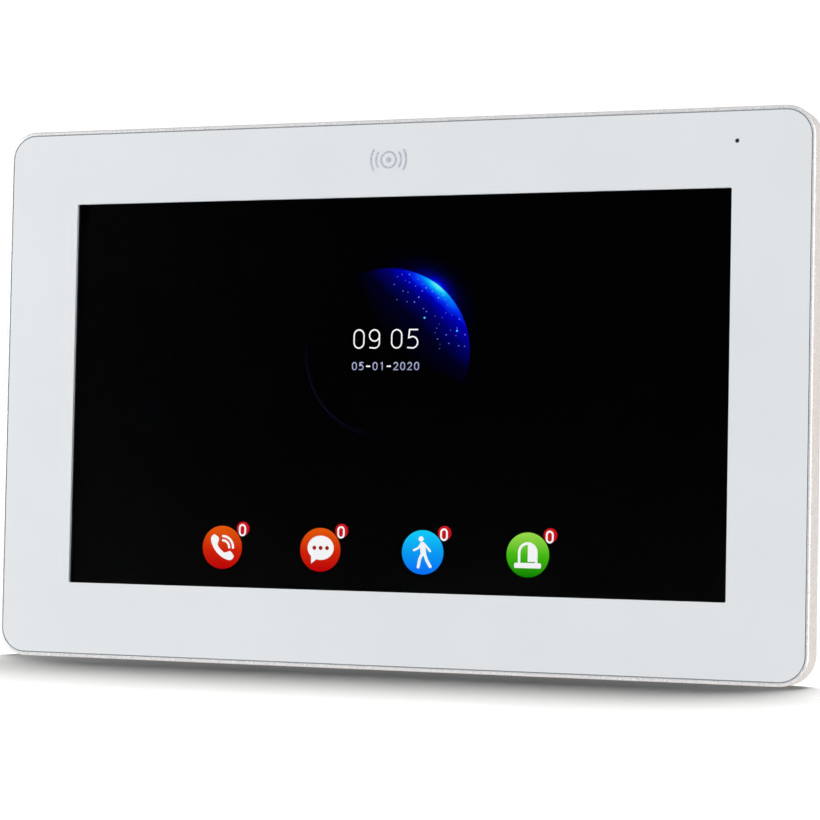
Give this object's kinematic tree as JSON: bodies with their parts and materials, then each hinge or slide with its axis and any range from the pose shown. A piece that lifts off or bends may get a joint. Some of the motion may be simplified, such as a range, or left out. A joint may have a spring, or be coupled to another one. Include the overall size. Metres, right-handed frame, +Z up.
{
  "type": "video intercom monitor",
  "caption": "Wall-mounted touch-screen monitor of a video door intercom: white glass front in a silver rim, tapered back shell, sheet steel hook bracket.",
  "frame": {"origin": "centre of the wall bracket's back face, on the wall plane", "axes": "+X to the right seen from the front, +Z up, +Y into the wall; the screen faces -Y"},
  "size_m": [0.2744, 0.024, 0.1746],
  "materials": {
    "front_glass": "clear glass back-printed white, polished",
    "clear_glass": "clear, polished",
    "screen": "black display panel, polished",
    "rim_silver": "silver metallic lacquer with fine flakes",
    "casing": "warm light grey, finely textured",
    "white_plastic": "moulded, satin",
    "black_plastic": "moulded, fine texture",
    "rubber": "soft, matt",
    "tape": "black adhesive foam",
    "board": "green solder mask",
    "flex": "amber polyimide film",
    "steel": "tinned sheet steel",
    "bracket_steel": "zinc-plated sheet steel",
    "screw_steel": "nickel-plated steel",
    "ferrite": "sintered ferrite",
    "paper": "pressed paper cone",
    "label": "blank silver film label",
    "lead": "insulated two-core lead"
  },
  "bodies": {
    "bracket": {"wall_bracket": "bracket_steel"},
    "monitor": {"cover_glass": "front_glass", "glass_adhesive": "tape", "touch_sensor": "clear_glass", "touch_flex": "flex", "lcd_glass": "screen", "light_guide": "white_plastic", "led_strip": "white_plastic", "backlight_tray": "steel", "panel_board": "board", "display_cable": "flex", "lcd_rail_left": "steel", "lcd_rail_right": "steel", "front_frame": "casing", "mic_boot": "rubber", "mic_capsule": "steel", "mic_lead": "lead", "rear_cover": "casing", "rear_label": "label", "main_board": "board", "processor": "black_plastic", "processor_shield": "steel", "memory_chip": "black_plastic", "power_inductor": "ferrite", "capacitor_1": "steel", "capacitor_2": "steel", "coin_cell": "steel", "coin_cell_holder": "black_plastic", "power_header": "white_plastic", "card_socket": "steel", "power_switch": "steel", "reset_switch": "black_plastic", "speaker_gasket": "rubber", "speaker_basket": "steel", "speaker_magnet": "ferrite", "speaker_lead": "lead", "rail_screw_1": "screw_steel", "board_screw_1": "screw_steel", "camera_header_1": "white_plastic", "rail_screw_2": "screw_steel", "board_screw_2": "screw_steel", "camera_header_2": "white_plastic", "rail_screw_3": "screw_steel", "board_screw_3": "screw_steel", "camera_header_3": "white_plastic", "rail_screw_4": "screw_steel", "board_screw_4": "screw_steel", "camera_header_4": "white_plastic", "case_screw_1": "screw_steel", "case_screw_2": "screw_steel", "case_screw_3": "screw_steel", "case_screw_4": "screw_steel", "case_screw_5": "screw_steel", "case_screw_6": "screw_steel"},
    "memory_card": {"memory_card": "black_plastic"},
    "power_knob": {"power_knob": "black_plastic"},
    "reset_plunger": {"reset_plunger": "white_plastic"},
    "speaker_cone": {"speaker_cone": "paper"}
  },
  "joints": [
    {"name": "lift_off", "type": "slide", "parent": "bracket", "child": "monitor", "axis": [0, 0, 1], "range_m": [0, 0.0055]},
    {"name": "card_slide", "type": "slide", "parent": "monitor", "child": "memory_card", "axis": [-1, 0, 0], "range_m": [-0.0004, 0.016]},
    {"name": "power_slide", "type": "slide", "parent": "monitor", "child": "power_knob", "axis": [1, 0, 0], "range_m": [0, 0.002]},
    {"name": "reset_press", "type": "slide", "parent": "monitor", "child": "reset_plunger", "axis": [0, 0, 1], "range_m": [0, 0.0003], "stiffness_N_per_m": 3000},
    {"name": "cone_travel", "type": "slide", "parent": "monitor", "child": "speaker_cone", "axis": [0, 1, 0], "range_m": [-0.0004, 0.0004], "stiffness_N_per_m": 2500}
  ]
}
